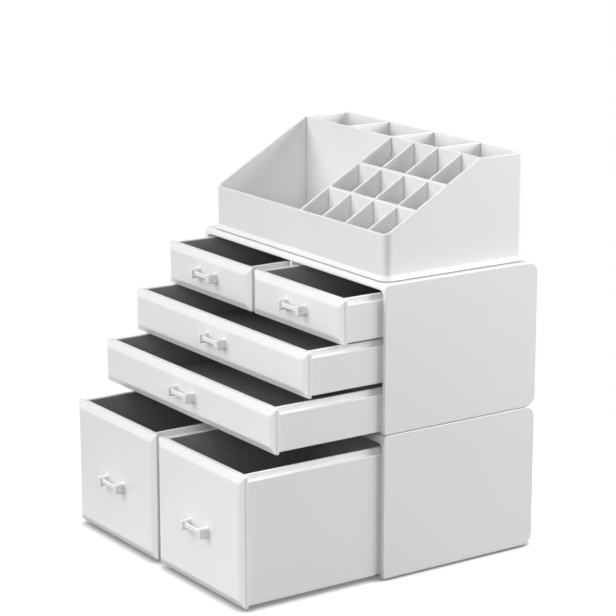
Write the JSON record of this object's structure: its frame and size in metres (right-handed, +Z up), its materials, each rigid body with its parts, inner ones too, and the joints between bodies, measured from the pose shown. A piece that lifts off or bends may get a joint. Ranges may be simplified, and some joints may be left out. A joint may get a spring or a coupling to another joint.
{
  "type": "makeup organizer",
  "caption": "Stacked desktop makeup organizer in white plastic: a base with deep drawers, a middle casing with shallow drawers, and a sloping compartment tray on top.",
  "frame": {"origin": "centre of the bounding box at the feet's underside, drawers as in the picture", "axes": "+X to the right seen from the front, +Y to the back, +Z up"},
  "size_m": [0.238, 0.263, 0.2985],
  "materials": {
    "casing": "white satin moulded plastic",
    "front": "white smooth plastic with a soft gloss",
    "liner": "dark matt thin plastic",
    "pad": "grey matt rubber"
  },
  "bodies": {
    "base": {"base_casing": "casing", "base_divider": "casing", "base_foot_front_left": "pad", "base_foot_front_right": "pad", "base_foot_back_left": "pad", "base_foot_back_right": "pad"},
    "middle": {"middle_casing": "casing", "middle_shelf": "casing", "middle_divider": "casing", "middle_pad_front_left": "pad", "middle_pad_front_right": "pad", "middle_pad_back_left": "pad", "middle_pad_back_right": "pad"},
    "tray": {"tray_shell": "casing", "tray_bin_partition": "casing", "tray_column_partition_1": "casing", "tray_column_partition_2": "casing", "tray_column_partition_3": "casing", "tray_cross_partition_1": "casing", "tray_cross_partition_2": "casing", "tray_tall_partition": "casing", "tray_back_partition_1": "casing", "tray_back_partition_2": "casing", "tray_back_partition_3": "casing", "tray_pad_front_left": "pad", "tray_pad_front_right": "pad", "tray_pad_back_left": "pad", "tray_pad_back_right": "pad"},
    "large_left_drawer": {"large_left_drawer_body": "casing", "large_left_drawer_front_panel": "front", "large_left_drawer_handle": "front", "large_left_drawer_liner": "liner"},
    "large_right_drawer": {"large_right_drawer_body": "casing", "large_right_drawer_front_panel": "front", "large_right_drawer_handle": "front", "large_right_drawer_liner": "liner"},
    "wide_lower_drawer": {"wide_lower_drawer_body": "casing", "wide_lower_drawer_front_panel": "front", "wide_lower_drawer_handle": "front", "wide_lower_drawer_liner": "liner"},
    "wide_upper_drawer": {"wide_upper_drawer_body": "casing", "wide_upper_drawer_front_panel": "front", "wide_upper_drawer_handle": "front", "wide_upper_drawer_liner": "liner"},
    "small_left_drawer": {"small_left_drawer_body": "casing", "small_left_drawer_front_panel": "front", "small_left_drawer_handle": "front", "small_left_drawer_liner": "liner"},
    "small_right_drawer": {"small_right_drawer_body": "casing", "small_right_drawer_front_panel": "front", "small_right_drawer_handle": "front", "small_right_drawer_liner": "liner"}
  },
  "joints": [
    {"name": "middle_lift", "type": "slide", "parent": "base", "child": "middle", "axis": [0, 0, 1], "range_m": [0, 0.12]},
    {"name": "tray_lift", "type": "slide", "parent": "middle", "child": "tray", "axis": [0, 0, 1], "range_m": [0, 0.1]},
    {"name": "large_left_drawer_slide", "type": "slide", "parent": "base", "child": "large_left_drawer", "axis": [0, -1, 0], "range_m": [-0.1134, 0.0068]},
    {"name": "large_right_drawer_slide", "type": "slide", "parent": "base", "child": "large_right_drawer", "axis": [0, -1, 0], "range_m": [-0.1134, 0.0068]},
    {"name": "wide_lower_drawer_slide", "type": "slide", "parent": "middle", "child": "wide_lower_drawer", "axis": [0, -1, 0], "range_m": [-0.0877, 0.0325]},
    {"name": "wide_upper_drawer_slide", "type": "slide", "parent": "middle", "child": "wide_upper_drawer", "axis": [0, -1, 0], "range_m": [-0.0607, 0.0595]},
    {"name": "small_left_drawer_slide", "type": "slide", "parent": "middle", "child": "small_left_drawer", "axis": [0, -1, 0], "range_m": [-0.0305, 0.0897]},
    {"name": "small_right_drawer_slide", "type": "slide", "parent": "middle", "child": "small_right_drawer", "axis": [0, -1, 0], "range_m": [-0.0305, 0.0897]}
  ]
}
